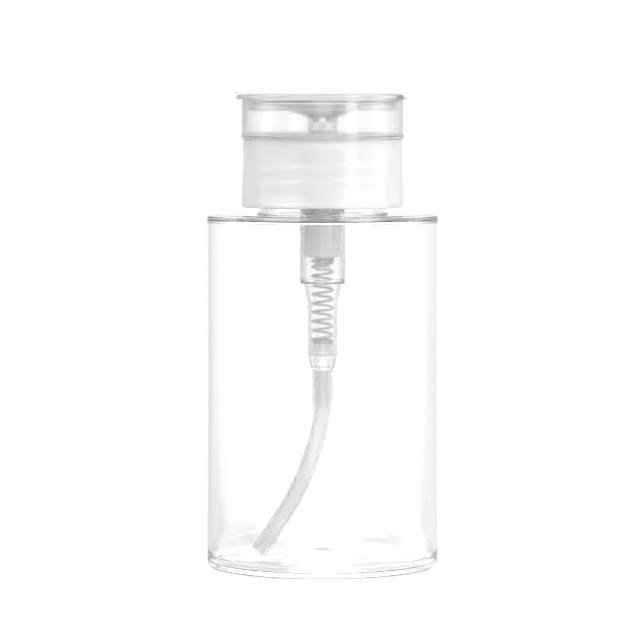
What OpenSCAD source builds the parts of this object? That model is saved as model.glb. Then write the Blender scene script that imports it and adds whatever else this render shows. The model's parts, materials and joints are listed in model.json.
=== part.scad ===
// Push-down disc pump bottle for spa oil and lotion: a clear cylindrical bottle, a screw collar,
// a guard ring with a flip lid, and a pump with its press dish, piston, spring and dip tube.
// Millimetres, +Z up, origin at the centre of the base. The lid's hinge is on +X, and the dip
// tube leans towards -X.

/* [Bottle] */
// Outside diameter of the bottle
bottle_d = 55; // [46:0.5:70]
// Height of the shoulder above the surface that the bottle stands on
shoulder_z = 84.2; // [70:0.2:120]
// Thickness of the bottle's side wall
bottle_wall = 0.9; // [0.6:0.1:1.4]
// Thickness of the base
base_t = 1.1; // [0.8:0.1:2]
// Thickness of the shoulder
shoulder_t = 0.9; // [0.8:0.1:1.8]
// Radius of the heel, where the wall turns into the base
heel_r = 2.1; // [1.6:0.1:4]
// Radius of the shoulder's outer corner
shoulder_r = 0.7; // [0.5:0.1:1.2]
// Fall of the shoulder from its flat part to the corner
crown_drop = 0.3; // [0:0.1:0.6]
// Height that the middle of the base is pushed up
push_up_h = 3.2; // [1:0.1:5]
// Width of the flat ring that the bottle stands on
contact_w = 6.4; // [3:0.1:8]
// Diameter of the moulding gate's nub under the base
gate_d = 4.8; // [3:0.1:6]
// Height of the gate's nub
gate_h = 0.7; // [0.4:0.1:0.9]

/* [Neck and thread] */
// Outside diameter of the plain foot of the neck
neck_foot_d = 31; // [30.6:0.1:31.4]
// Height of that foot
neck_foot_h = 2.4; // [1.8:0.1:2.6]
// Outside diameter of the neck between the threads
neck_d = 30; // [29.6:0.1:30.2]
// Bore of the neck
neck_bore_d = 26; // [25.6:0.1:27]
// Height of the neck above the shoulder
neck_h = 15.7; // [15:0.1:18]
// Diameter over the thread
thread_d = 32.1; // [31.6:0.1:32.3]
// Pitch of the thread
thread_pitch = 3.2; // [3:0.1:3.6]
// Turns of the thread on the neck
thread_turns = 2.3; // [1.5:0.1:2.5]

/* [Collar] */
// Outside diameter of the collar at its lower edge
collar_low_d = 38.4; // [37.6:0.1:42]
// Outside diameter of the collar at its top
collar_top_d = 37.7; // [37:0.1:41]
// Gap between the shoulder and the collar's lower edge
collar_gap = 1.65; // [1:0.05:2.2]
// Thickness of the collar's deck
deck_t = 1; // [0.8:0.1:1.2]
// Diameter of the deck's central opening
deck_hole_d = 17.2; // [16.8:0.1:24]
// Height of the spigot above the ledge
spigot_h = 1.5; // [1.3:0.1:2]

/* [Guard ring] */
// Outside diameter of the guard ring
ring_d = 38.4; // [38.2:0.1:42]
// Thickness of the guard ring's wall
ring_wall = 1; // [0.9:0.05:1.1]
// Height of the guard ring up to its rim flange
ring_h = 9.45; // [9.3:0.05:12]
// Diameter of the rim flange and of the lid
flange_d = 41.4; // [41:0.1:44]
// Thickness of the rim flange
flange_t = 1.05; // [0.9:0.05:1.4]
// Height of the bead round the ring's lower edge
bead_h = 1.3; // [0.8:0.1:1.4]
// How far that bead stands out
bead_out = 0.15; // [0.1:0.05:0.3]
// Depth of the finger notch in the rim flange
notch_depth = 0.5; // [0.3:0.1:0.7]

/* [Lid] */
// Thickness of the lid
lid_t = 1.2; // [1:0.1:1.6]
// Gap between the closed lid and the rim flange
lid_gap = 0.1; // [0.05:0.05:0.2]
// Thickness of the sealing ring under the lid
seal_t = 0.8; // [0.6:0.1:1]
// Depth of the sealing ring under the lid
seal_h = 0.9; // [0.6:0.1:1.1]
// Diameter of the plug that covers the outlet
plug_d = 5.2; // [4.6:0.1:6]
// Diameter of the hinge barrel
hinge_d = 2.3; // [2.1:0.1:2.6]
// Diameter of the hinge trunnions
trunnion_d = 1.2; // [1:0.1:1.3]
// Width of the lid's barrel between the ears
barrel_w = 8; // [6:0.5:12]
// Width of each ear
ear_w = 3.4; // [3:0.1:5]

/* [Press dish] */
// Travel of the press dish
stroke = 4.8; // [4:0.1:4.8]
// Thickness of the dish and its skirt
dish_t = 0.8; // [0.7:0.1:1]
// Height of the dish's skirt
dish_skirt_h = 2.6; // [2.2:0.1:2.9]
// Radius at which the dish's cone starts
cone_top_r = 14.4; // [12:0.1:15.5]
// Fall of the cone towards the middle
cone_drop = 3.6; // [3:0.1:3.8]
// Diameter of the dish's stem
stem_d = 7; // [6.6:0.1:7.2]
// Bore of the dish's stem
stem_bore_d = 5; // [4.8:0.1:5.2]
// Length of the dish's stem below the cone
stem_l = 11.2; // [10.5:0.1:12]
// Diameter of the outlet holes
outlet_d = 0.9; // [0.6:0.1:1.1]
// Number of outlet holes
outlet_n = 4; // [3:1:6]

/* [Pump] */
// Thickness of the gasket
gasket_t = 0.9; // [0.6:0.1:1.5]
// Diameter of the gasket and the housing's flange
pump_flange_d = 31.2; // [30:0.1:32]
// Thickness of the housing's flange
pump_flange_t = 1.2; // [1:0.1:1.5]
// Depth of the plug skirt inside the neck
plug_skirt_h = 3.8; // [3:0.1:5]
// Outside diameter of the pump cylinder
cyl_d = 10.7; // [10.6:0.1:11.4]
// Bore of the pump cylinder
cyl_bore_d = 9.2; // [9:0.1:9.4]
// Length of the pump cylinder below the flange
cyl_l = 33.1; // [33:0.1:38]
// Length of the taper below the cylinder
taper_l = 5.4; // [4:0.1:7]
// Outside diameter of the spring well
well_d = 6.9; // [6.8:0.1:7.4]
// Bore of the spring well
well_bore_d = 5.7; // [5.7:0.05:5.9]
// Length of the spring well
well_l = 12.2; // [11:0.1:14]
// Outside diameter of the dip tube's socket
socket_d = 5; // [4.9:0.1:6]
// Length of the dip tube's socket
socket_l = 9.3; // [7:0.1:12]
// Depth of the guide cap's sleeve in the cylinder
guide_l = 17.4; // [14:0.1:17.4]
// Diameter of the guide cap's head
guide_head_d = 12.4; // [11.6:0.1:14]
// Length of the piston
piston_l = 10.5; // [8:0.1:10.5]
// Diameter of the hole through the piston rod
rod_bore_d = 1.4; // [1.2:0.1:1.6]
// Diameter of the outlet ball
outlet_ball_d = 2; // [1.8:0.1:2.2]
// Diameter of the inlet ball
inlet_ball_d = 2.5; // [2.3:0.1:2.6]

/* [Spring] */
// Outside diameter of the spring
spring_d = 5.5; // [5.2:0.1:5.6]
// Diameter of the spring's wire
wire_d = 0.6; // [0.5:0.05:0.7]
// Turns of the spring between its closed ends
open_turns = 8.5; // [6:0.5:9]

/* [Dip tube] */
// Outside diameter of the dip tube
tube_d = 3.9; // [3.6:0.1:4.2]
// Bore of the dip tube
tube_bore_d = 2.7; // [2:0.1:2.9]
// Distance of the tube's lower end from the bottle's axis
tube_reach = 15.3; // [8:0.1:16]
// Height of the tube's lower end above the surface, at its centre
tube_end_z = 3.45; // [3.4:0.05:8]
// Angle at which the tube leaves the socket
tube_exit_a = 8; // [4:0.5:10]
// Length of the straight end of the tube
tube_end_l = 10; // [6:0.5:16]

/* [Hidden] */
$fn = 96;

slide_fit = 0.1;      // clearance on the radius of a sliding stem
seal_fit = 0.05;      // clearance on the radius of a seal, a pin or a turning face
skirt_fit = 0.25;     // clearance on the radius round the dish and the lid's sealing ring
snap = 0.15;          // height of the snap bead between the collar and the guard ring
ball_fit = 0.02;      // clearance between a ball and its seat
thread_fit = 0.35;    // clearance on the radius over the neck's thread
root_fit = 0.3;       // clearance on the radius between the collar's thread and the neck
past = 0.1;           // how far a cut runs past a face
buried = 0.3;         // how deep a thread's root is set into its wall

bottle_r = bottle_d / 2;
neck_r = neck_d / 2;
neck_top_z = shoulder_z + neck_h;
gasket_top_z = neck_top_z + gasket_t;
ledge_z = gasket_top_z + pump_flange_t;
deck_z = ledge_z + seal_fit;
deck_top_z = deck_z + deck_t;
collar_low_z = shoulder_z + collar_gap;
ring_r = ring_d / 2;
ring_bore_r = ring_r - ring_wall;
spigot_r = ring_bore_r - seal_fit;
collar_bore_r = thread_d / 2 + thread_fit;
collar_thread_r = neck_r + root_fit;
flange_z = ledge_z + ring_h;
rim_z = flange_z + flange_t;
lid_z = rim_z + lid_gap;
lid_top_z = lid_z + lid_t;

hinge_r = hinge_d / 2;
hinge_z = lid_z + 0.45;
hinge_x = flange_d / 2 - hinge_r + seal_fit;
chord_x = hinge_x - hinge_r - seal_fit * 3;      // where the lid and the rim flange stop short

// The dish's heights follow the closed lid's sealing ring.
dish_top_z = lid_z - seal_h - 0.3;
cone_low_z = dish_top_z - dish_t + 0.2 - cone_drop;
dish_floor_z = cone_low_z + dish_t + 0.3;
dish_r = ring_bore_r - skirt_fit;
stem_r = stem_d / 2;
stem_low_z = cone_low_z - stem_l;
chamber_top_z = cone_low_z - 0.9;
stop_gap = 0.4;       // gap left between the dish's cone and the guide cap at full stroke
guide_top_z = cone_low_z - stroke - stop_gap;
guide_head_t = 1.4;
guide_low_z = guide_top_z - guide_l;
guide_seat_z = guide_top_z - guide_head_t;

rod_top_z = stem_low_z + 8.1;
rod_r = stem_bore_d / 2;
rod_gap = 0.1;        // gap between the guide's lower edge and the piston at rest
piston_top_z = guide_low_z - rod_gap;
piston_low_z = piston_top_z - piston_l;
cyl_low_z = gasket_top_z - cyl_l;
taper_low_z = cyl_low_z - taper_l;
well_low_z = taper_low_z - well_l;
socket_top_z = well_low_z - 2.9;
socket_low_z = socket_top_z - socket_l;
tube_top_z = socket_top_z - 0.4;
port_d = 1.8;         // hole between the dip tube and the inlet ball
inlet_seat_z = tube_top_z + 1.13;
inlet_ball_z = inlet_seat_z + sqrt(pow(inlet_ball_d / 2, 2) - pow(port_d / 2, 2)) + ball_fit;
ball_lift = 0.5;
cage_z = inlet_ball_z + inlet_ball_d / 2 + ball_lift;
spring_low_z = cage_z + 2.4;
tip_flange_t = 0.3;
spring_top_z = piston_low_z - tip_flange_t;
outlet_ball_z = rod_top_z + sqrt(pow(outlet_ball_d / 2, 2) - pow(rod_bore_d / 2, 2)) + ball_fit;

// Points of an arc about [cx, cz] from one angle to another.
function arc(cx, cz, r, from, to, steps = 6) =
    [for (i = [0 : steps]) let (a = from + (to - from) * i / steps) [cx + r * cos(a), cz + r * sin(a)]];

// The base's push-up: a raised cosine, nothing at the contact ring and push_up_h in the middle.
push_r = bottle_r - heel_r - contact_w;
function push_up(r) = r >= push_r ? 0 : push_up_h * (0.5 + 0.5 * cos(180 * r / push_r));
push_steps = 12;
function base_line(lift, from, to) =
    [for (i = [0 : push_steps]) let (r = from + (to - from) * i / push_steps) [r, push_up(r) + lift]];

module turned(points) rotate_extrude() polygon(points);

module tube(d, bore, low, top)
    difference() {
        translate([0, 0, low]) cylinder(d = d, h = top - low);
        translate([0, 0, low - past]) cylinder(d = bore, h = top - low + 2 * past);
    }

// A helical ridge from root_r to tip_r, narrower at its tip, whose ends sink into the wall.
module thread(root_r, tip_r, start_z, turns, per_turn = 30, fade = 6) {
    rings = round(turns * per_turn);
    root_w = 1.5;
    tip_w = 0.7;
    side = tip_r > root_r ? 1 : -1;
    function rise(i) = max(0.15, min(1, min(i, rings - i) / fade));
    function section(i) =
        let (a = 360 * i / per_turn, z = start_z + thread_pitch * i / per_turn,
             tip = root_r + (tip_r - root_r) * rise(i))
        [for (c = [[root_r, -root_w], [tip, -tip_w], [tip, tip_w], [root_r, root_w]])
            [c[0] * cos(a), c[0] * sin(a), z + c[1] / 2]];
    points = [for (i = [0 : rings]) each section(i)];
    function wall(i, k) = let (a = 4 * i + k, b = 4 * i + (k + 1) % 4)
        side > 0 ? [a, b, b + 4, a + 4] : [a + 4, b + 4, b, a];
    function cap(i, out) = [for (k = [0 : 3]) 4 * i + (out * side > 0 ? k : 3 - k)];
    polyhedron(points, concat([for (i = [0 : rings - 1], k = [0 : 3]) wall(i, k)],
                              [cap(0, -1), cap(rings, 1)]), convexity = 8);
}

thread_low_z = shoulder_z + 5.5;
collar_thread_low_z = thread_low_z - thread_pitch / 2;

module bottle() {
    inner_r = bottle_r - bottle_wall;
    inner_heel = heel_r - bottle_wall;
    crown_r = bottle_r - 3.9;
    corner_z = shoulder_z - crown_drop - shoulder_r;
    ceiling_z = shoulder_z - crown_drop - shoulder_t;
    outside = concat(
        base_line(0, 0, push_r),
        arc(bottle_r - heel_r, heel_r, heel_r, -90, 0),
        arc(bottle_r - shoulder_r, corner_z, shoulder_r, 0, 84, 4),
        [[crown_r, shoulder_z], [neck_foot_d / 2, shoulder_z],
         [neck_foot_d / 2, shoulder_z + neck_foot_h - 0.5], [neck_r, shoulder_z + neck_foot_h],
         [neck_r, neck_top_z - 0.3], [neck_r - 0.3, neck_top_z], [neck_bore_d / 2, neck_top_z]]);
    inside = concat(
        [[neck_bore_d / 2, ceiling_z]],
        arc(inner_r - 0.8, ceiling_z - 0.8, 0.8, 90, 0, 4),
        arc(inner_r - inner_heel, base_t + inner_heel, inner_heel, 0, -90, 4),
        base_line(base_t, push_r, 0));
    color([0.93, 0.96, 0.97, 0.35]) union() {
        turned(concat(outside, inside));
        translate([0, 0, push_up_h - gate_h]) cylinder(d1 = gate_d - 0.8, d2 = gate_d, h = gate_h + 0.4);
        thread(neck_r - buried, thread_d / 2, thread_low_z, thread_turns);
    }
}

module gasket()
    color("gainsboro") tube(pump_flange_d, neck_bore_d - 2 * slide_fit, neck_top_z, gasket_top_z);

module collar() {
    low_r = collar_low_d / 2;
    top_r = collar_top_d / 2;
    bore_r = collar_bore_r;
    spigot_top_z = ledge_z + spigot_h;
    bead_z = ledge_z + 0.75;
    color("whitesmoke") union() {
        turned([[bore_r + 0.3, collar_low_z], [low_r - 0.4, collar_low_z], [low_r, collar_low_z + 0.4],
                [top_r, ledge_z], [spigot_r, ledge_z], [spigot_r, bead_z - snap],
                [spigot_r + snap, bead_z], [spigot_r, bead_z + snap],
                [spigot_r, spigot_top_z - 0.2], [spigot_r - 0.2, spigot_top_z], [bore_r, spigot_top_z],
                [bore_r, deck_top_z], [deck_hole_d / 2, deck_top_z], [deck_hole_d / 2, deck_z],
                [bore_r, deck_z], [bore_r, collar_low_z + 0.3]]);
        thread(bore_r + buried, collar_thread_r, collar_thread_low_z, thread_turns + 0.4);
    }
}

// Places a shape drawn along Z on the hinge's axis, from y = -length / 2.
module on_hinge(length)
    translate([hinge_x, length / 2, hinge_z]) rotate([90, 0, 0]) children();

module ear(side) {
    mid_y = side * (barrel_w / 2 + seal_fit * 2 + ear_w / 2);
    translate([0, mid_y, 0]) on_hinge(ear_w) cylinder(d = hinge_d, h = ear_w);
    translate([hinge_x - hinge_r, mid_y - ear_w / 2, flange_z])
        cube([hinge_d, ear_w, hinge_z - flange_z]);
}

module guard_ring() {
    bead_z = ledge_z + 0.75;
    pin_l = barrel_w + 2 * ear_w + 4 * seal_fit + 2 * past;
    wall_low_z = ledge_z;
    color([0.93, 0.95, 0.96, 0.5]) difference() {
        union() {
            turned([[ring_bore_r, wall_low_z], [ring_r - 0.2, wall_low_z],
                    [ring_r + bead_out, wall_low_z + 0.35], [ring_r + bead_out, wall_low_z + bead_h - 0.3],
                    [ring_r, wall_low_z + bead_h], [ring_r, flange_z + past], [ring_bore_r, flange_z + past]]);
            translate([0, 0, flange_z]) linear_extrude(flange_t)
                difference() {
                    circle(d = flange_d);
                    circle(r = ring_bore_r);
                    // room for the lid's barrel
                    translate([chord_x, -barrel_w / 2 - 2 * seal_fit]) square(barrel_w + 4 * seal_fit);
                }
            ear(1);
            ear(-1);
        }
        // groove for the collar's snap bead
        turned([[ring_bore_r - past, bead_z - snap - past], [ring_bore_r, bead_z - snap],
                [ring_bore_r + snap, bead_z], [ring_bore_r, bead_z + snap],
                [ring_bore_r - past, bead_z + snap + past]]);
        // bore for the lid's trunnions, through both ears
        on_hinge(pin_l) cylinder(d = trunnion_d + 2 * seal_fit, h = pin_l);
        // finger notch under the lid's front edge
        translate([-flange_d / 2 - 4.2, 0, rim_z - notch_depth]) cylinder(r = 6, h = notch_depth + past);
    }
}

module lid() {
    seal_r = ring_bore_r - skirt_fit - seal_fit;
    plug_low_z = dish_floor_z + 0.15;
    color([0.95, 0.96, 0.97, 0.6]) union() {
        // the hinge side is cut off straight, clear of the ears
        translate([0, 0, lid_z]) linear_extrude(lid_t) intersection() {
            circle(d = flange_d);
            translate([chord_x - flange_d, -flange_d / 2]) square(flange_d);
        }
        translate([0, 0, lid_z - seal_h]) linear_extrude(seal_h + past)
            difference() {
                circle(r = seal_r);
                circle(r = seal_r - seal_t);
            }
        translate([0, 0, plug_low_z]) cylinder(d = plug_d, h = lid_z + past - plug_low_z);
        on_hinge(barrel_w) cylinder(d = hinge_d, h = barrel_w);
        translate([chord_x - 1, -barrel_w / 2, lid_z]) cube([hinge_x - chord_x + 1, barrel_w, lid_t]);
        on_hinge(barrel_w + 2 * ear_w) cylinder(d = trunnion_d, h = barrel_w + 2 * ear_w);
    }
}

module press_dish() {
    slope = cone_drop / (cone_top_r - stem_r);
    floor_r = stem_r + (dish_floor_z - cone_low_z - dish_t) / slope;
    under_z = dish_top_z - dish_t;
    color([0.96, 0.97, 0.98, 0.7]) difference() {
        turned([[0, chamber_top_z], [rod_r, chamber_top_z], [rod_r, stem_low_z], [stem_r - 0.2, stem_low_z],
                [stem_r, stem_low_z + 0.2], [stem_r, cone_low_z], [cone_top_r, cone_low_z + cone_drop],
                [dish_r - dish_t, under_z], [dish_r - dish_t, dish_top_z - dish_skirt_h],
                [dish_r, dish_top_z - dish_skirt_h], [dish_r, dish_top_z - 0.3], [dish_r - 0.3, dish_top_z],
                [cone_top_r + 0.2, dish_top_z], [floor_r, dish_floor_z], [0, dish_floor_z]]);
        for (i = [0 : outlet_n - 1]) rotate(45 + 360 * i / outlet_n)
            translate([1.5, 0, chamber_top_z - past])
                cylinder(d = outlet_d, h = dish_floor_z - chamber_top_z + 2 * past, $fn = 24);
    }
}

module guide_cap() {
    bore_r = stem_r + slide_fit;
    head_r = guide_head_d / 2;
    sleeve_r = cyl_bore_d / 2;
    color("whitesmoke") turned([[bore_r, guide_low_z], [sleeve_r - 0.3, guide_low_z],
        [sleeve_r, guide_low_z + 0.3], [sleeve_r, guide_seat_z], [head_r, guide_seat_z],
        [head_r, guide_top_z - 0.2], [head_r - 0.2, guide_top_z], [bore_r + 0.3, guide_top_z],
        [bore_r, guide_top_z - 0.3]]);
}

module outlet_ball()
    color("lightsteelblue") translate([0, 0, outlet_ball_z]) sphere(d = outlet_ball_d, $fn = 32);

module piston_rod()
    color("white") difference() {
        translate([0, 0, piston_low_z]) cylinder(r = rod_r, h = rod_top_z - piston_low_z);
        translate([0, 0, piston_low_z - past])
            cylinder(d = rod_bore_d, h = rod_top_z - piston_low_z + 2 * past);
        // socket for the rod tip
        translate([0, 0, piston_low_z - past]) cylinder(r = rod_r - 0.9, h = 4 + past);
    }

module piston() {
    lip_r = cyl_bore_d / 2 - seal_fit;
    waist_r = lip_r - 0.25;
    lip_h = 1.4;
    color("white") turned([[rod_r, piston_low_z], [waist_r - 0.4, piston_low_z], [lip_r, piston_low_z + 0.2],
        [lip_r, piston_low_z + lip_h], [waist_r, piston_low_z + lip_h + 0.8],
        [waist_r, piston_top_z - lip_h - 0.8], [lip_r, piston_top_z - lip_h], [lip_r, piston_top_z - 0.2],
        [waist_r - 0.4, piston_top_z], [rod_r, piston_top_z]]);
}

module rod_tip() {
    pilot_r = spring_d / 2 - wire_d - 0.25;
    pin_r = rod_r - 0.9;
    bore_r = 0.7;
    color("snow") turned([[bore_r, spring_top_z - 3], [pilot_r - 0.4, spring_top_z - 3],
        [pilot_r, spring_top_z - 2.4], [pilot_r, spring_top_z], [spring_d / 2, spring_top_z],
        [spring_d / 2, piston_low_z], [pin_r, piston_low_z], [pin_r, piston_low_z + 3.8],
        [bore_r, piston_low_z + 3.8]]);
}

module housing() {
    flange_r = pump_flange_d / 2;
    skirt_r = neck_bore_d / 2 - slide_fit;
    bore_r = cyl_bore_d / 2;
    cyl_r = cyl_d / 2;
    step_r = cyl_r - 0.95;
    hub_r = guide_head_d / 2 + 1.3;
    well_r = well_d / 2;
    well_bore_r = well_bore_d / 2;
    chamber_r = inlet_ball_d / 2 + 0.4;
    tube_r = tube_d / 2;
    hub_z = guide_seat_z - 1.8;
    color("ghostwhite") difference() {
        turned([[0, socket_low_z], [socket_d / 2, socket_low_z], [socket_d / 2, socket_top_z],
                [well_r, well_low_z], [well_r, taper_low_z], [step_r, cyl_low_z - 0.2], [cyl_r, cyl_low_z],
                [cyl_r, hub_z - 0.8], [hub_r, hub_z], [hub_r, gasket_top_z], [skirt_r - 0.6, gasket_top_z],
                [skirt_r - 0.6, gasket_top_z - plug_skirt_h + 0.3],
                [skirt_r - 0.3, gasket_top_z - plug_skirt_h], [skirt_r, gasket_top_z - plug_skirt_h + 0.6],
                [skirt_r, gasket_top_z], [flange_r, gasket_top_z], [flange_r, ledge_z], [0, ledge_z]]);
        // guide cap's seat, cylinder, spring well, ball chamber, port and tube socket
        turned([[0, ledge_z + past], [guide_head_d / 2, ledge_z + past], [guide_head_d / 2, guide_seat_z],
                [bore_r, guide_seat_z], [bore_r, cyl_low_z + 1], [step_r - 0.6, cyl_low_z - 0.1],
                [well_bore_r, taper_low_z - 0.2], [well_bore_r, cage_z], [chamber_r, cage_z],
                [chamber_r, inlet_seat_z], [port_d / 2, inlet_seat_z], [port_d / 2, tube_top_z],
                [tube_r, tube_top_z], [tube_r, socket_low_z - past], [0, socket_low_z - past]]);
        // vent for the air that replaces what is pumped out
        translate([0, 0, gasket_top_z - 14]) rotate([90, 0, 0]) cylinder(d = 0.9, h = cyl_d, $fn = 24);
    }
}

module spring() {
    per_turn = 16;
    sides = 6;
    closed = wire_d + 0.08;                       // pitch of the closed end turns
    low_turns = 1.5;
    top_turns = 1;
    coil_r = spring_d / 2 - wire_d / 2;
    low = spring_low_z + wire_d / 2;
    top = spring_top_z - wire_d / 2;
    pitch = (top - low - closed * (low_turns + top_turns)) / open_turns;
    turns = low_turns + open_turns + top_turns;
    function climb(t) = t < low_turns ? closed * t
        : t < low_turns + open_turns ? closed * low_turns + pitch * (t - low_turns)
        : closed * (t - open_turns) + pitch * open_turns;
    rings = turns * per_turn;
    points = [for (i = [0 : rings], k = [0 : sides - 1])
        let (a = 360 * i / per_turn, b = 360 * k / sides, r = coil_r + wire_d / 2 * cos(b))
        [r * cos(a), r * sin(a), low + climb(i / per_turn) + wire_d / 2 * sin(b)]];
    walls = [for (i = [0 : rings - 1], k = [0 : sides - 1])
        let (a = sides * i + k, b = sides * i + (k + 1) % sides) [a, b, b + sides, a + sides]];
    caps = [[for (k = [0 : sides - 1]) sides - 1 - k], [for (k = [0 : sides - 1]) sides * rings + k]];
    color("silver") polyhedron(points, concat(walls, caps), convexity = 20);
}

module ball_cage() {
    cage_r = well_bore_d / 2;
    ring_h = 0.9;
    pilot_r = spring_d / 2 - wire_d - 0.15;
    color("snow") difference() {
        union() {
            translate([0, 0, cage_z]) cylinder(r = cage_r, h = ring_h);
            tube(2 * cage_r, 2 * cage_r - 1.1, cage_z, spring_low_z);
            translate([0, 0, cage_z]) cylinder(r = pilot_r, h = spring_low_z - cage_z + 1.6);
        }
        for (a = [0, 90]) rotate(a)
            translate([-pilot_r * 0.75, -0.35, cage_z - past]) cube([pilot_r * 1.5, 0.7, 10]);
    }
}

module inlet_ball()
    color("lightsteelblue") translate([0, 0, inlet_ball_z]) sphere(d = inlet_ball_d, $fn = 32);

// The tube leaves the socket with a short bend, then one long arc carries it to its straight end,
// whose tip lies tube_reach from the axis. The arc's angle and radius follow from those places.
exit_bend_r = 4;
bend_x = tube_reach - exit_bend_r * (1 - cos(tube_exit_a));
bend_z = socket_low_z - tube_end_z - exit_bend_r * sin(tube_exit_a);
along = bend_z * cos(tube_exit_a) + bend_x * sin(tube_exit_a);
across = bend_x * cos(tube_exit_a) - bend_z * sin(tube_exit_a);
arc_a = 2 * atan2(across, along + tube_end_l);
arc_r = (along - tube_end_l * cos(arc_a)) / sin(arc_a);

// A bend that starts at the origin going down and turns towards -X.
module bend(r, angle)
    translate([-r, 0, 0]) rotate([-90, 0, 0]) rotate_extrude(angle = angle) translate([r, 0])
        difference() {
            circle(d = tube_d);
            circle(d = tube_bore_d);
        }

module after_bend(r, angle)
    translate([-r, 0, 0]) rotate([0, angle, 0]) translate([r, 0, 0]) children();

// One stretch after another: the straight top, the short bend, the long arc and the straight end.
module dip_tube()
    color("ghostwhite") translate([0, 0, socket_low_z]) union() {
        tube(tube_d, tube_bore_d, 0, tube_top_z - socket_low_z);
        bend(exit_bend_r, tube_exit_a);
        after_bend(exit_bend_r, tube_exit_a) {
            bend(arc_r, arc_a);
            after_bend(arc_r, arc_a) tube(tube_d, tube_bore_d, -tube_end_l, 0);
        }
    }

bottle();
gasket();
collar();
guard_ring();
lid();
press_dish();
guide_cap();
outlet_ball();
piston_rod();
piston();
rod_tip();
housing();
spring();
ball_cage();
inlet_ball();
dip_tube();
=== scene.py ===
import json
import math

import bmesh
import bpy
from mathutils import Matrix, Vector

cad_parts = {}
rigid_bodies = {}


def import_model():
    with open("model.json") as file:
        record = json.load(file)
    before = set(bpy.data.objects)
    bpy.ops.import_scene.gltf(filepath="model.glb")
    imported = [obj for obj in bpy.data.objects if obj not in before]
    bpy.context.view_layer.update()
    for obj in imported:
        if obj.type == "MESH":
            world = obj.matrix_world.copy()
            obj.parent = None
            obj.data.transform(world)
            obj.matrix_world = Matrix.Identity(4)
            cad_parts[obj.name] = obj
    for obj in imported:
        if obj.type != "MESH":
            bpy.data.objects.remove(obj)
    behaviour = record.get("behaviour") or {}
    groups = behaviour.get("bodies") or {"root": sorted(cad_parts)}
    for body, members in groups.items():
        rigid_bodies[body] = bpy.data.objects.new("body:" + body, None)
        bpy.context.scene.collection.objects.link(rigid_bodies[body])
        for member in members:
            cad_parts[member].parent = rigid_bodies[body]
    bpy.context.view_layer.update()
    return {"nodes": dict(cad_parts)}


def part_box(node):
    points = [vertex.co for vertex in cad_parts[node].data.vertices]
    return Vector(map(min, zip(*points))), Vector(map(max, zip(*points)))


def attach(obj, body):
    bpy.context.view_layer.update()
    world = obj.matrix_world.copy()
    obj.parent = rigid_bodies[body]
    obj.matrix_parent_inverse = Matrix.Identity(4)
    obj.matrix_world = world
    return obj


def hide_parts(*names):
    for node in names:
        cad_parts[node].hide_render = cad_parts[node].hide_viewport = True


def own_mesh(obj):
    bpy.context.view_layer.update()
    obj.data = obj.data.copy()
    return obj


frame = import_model()

# ---------------------------------------------------------------- sizes, in millimetres

MM = 0.001


def low(node):
    """Lowest height of a CAD node, in mm."""
    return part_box(node)[0].z / MM


def top(node):
    """Highest height of a CAD node, in mm."""
    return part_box(node)[1].z / MM


def radius(node):
    """How far a round CAD node reaches along +Y, in mm: its hinge side is on X."""
    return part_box(node)[1].y / MM


# bottle
NECK_H = 15.7               # neck above the shoulder
NECK_R = 15.0               # neck between the threads
NECK_FOOT_R = 15.5
NECK_BORE_R = 13.0
WALL = 0.9                  # side wall
BASE_T = 1.1
PUSH_UP = 3.2               # how far the middle of the base is pushed up
CONTACT_W = 6.4             # width of the ring the bottle stands on
HEEL_R = 2.1
GATE_R = 2.4                # nub left by the moulding gate
GATE_H = 0.7
SHOULDER_T = 0.9
CROWN_DROP = 0.3            # how far the shoulder falls towards its edge
CROWN_W = 3.9               # over this width

# screw thread and collar
THREAD_PITCH = 3.2
THREAD_TURNS = 2.3
THREAD_RISE = 5.5           # start of the neck's thread above the shoulder
THREAD_H = 1.05
COLLAR_BORE_R = 16.4
COLLAR_THREAD_H = 1.1
COLLAR_THREAD_TURNS = THREAD_TURNS + 0.4
DECK_T = 1.0                # deck that holds the pump's flange down
DECK_OPENING_R = 8.6
BEAD_RISE = 0.75            # snap bead above the collar's ledge

# guard ring and lid
RING_R = 19.2
RING_WALL = 1.0
RING_BORE_R = RING_R - RING_WALL
FOOT_SWELL = 0.15           # thicker band at the ring's foot
SPIGOT_GAP = 0.05           # between the ring and the collar's spigot
FLANGE_T = 1.05
NOTCH_R = 6.0               # finger notch in the rim flange
NOTCH_DEPTH = 1.8
LID_GAP = 0.1
LID_T = 1.2
SEAL_GAP = 0.3              # between the lid's sealing ring and the guard ring
SEAL_H = 0.9
SEAL_T = 0.8
PLUG_R = 2.6
HINGE_R = 1.15
HINGE_RISE = 0.45           # hinge line above the lid's underside
TRUNNION_R = 0.6
TRUNNION_GAP = 0.05
BARREL_W = 8.0
EAR_W = 3.4
EAR_GAP = 0.1

# press dish
DISH_T = 0.8
DISH_GAP = 0.25             # between the dish and the guard ring
DISH_REST = 0.3             # below the lid's sealing ring at rest
DISH_SKIRT_H = 2.6
CONE_TOP_R = 14.4
CONE_DROP = 3.6
FLOOR_RISE = 0.3            # floor above the foot of the cone
STEM_R = 3.5
STEM_BORE_R = 2.5
STEM_ROOF = 0.9             # roof of the stem's bore below the foot of the cone
OUTLET_R = 0.45
OUTLET_CIRCLE_R = 1.5
OUTLETS = 4

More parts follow.
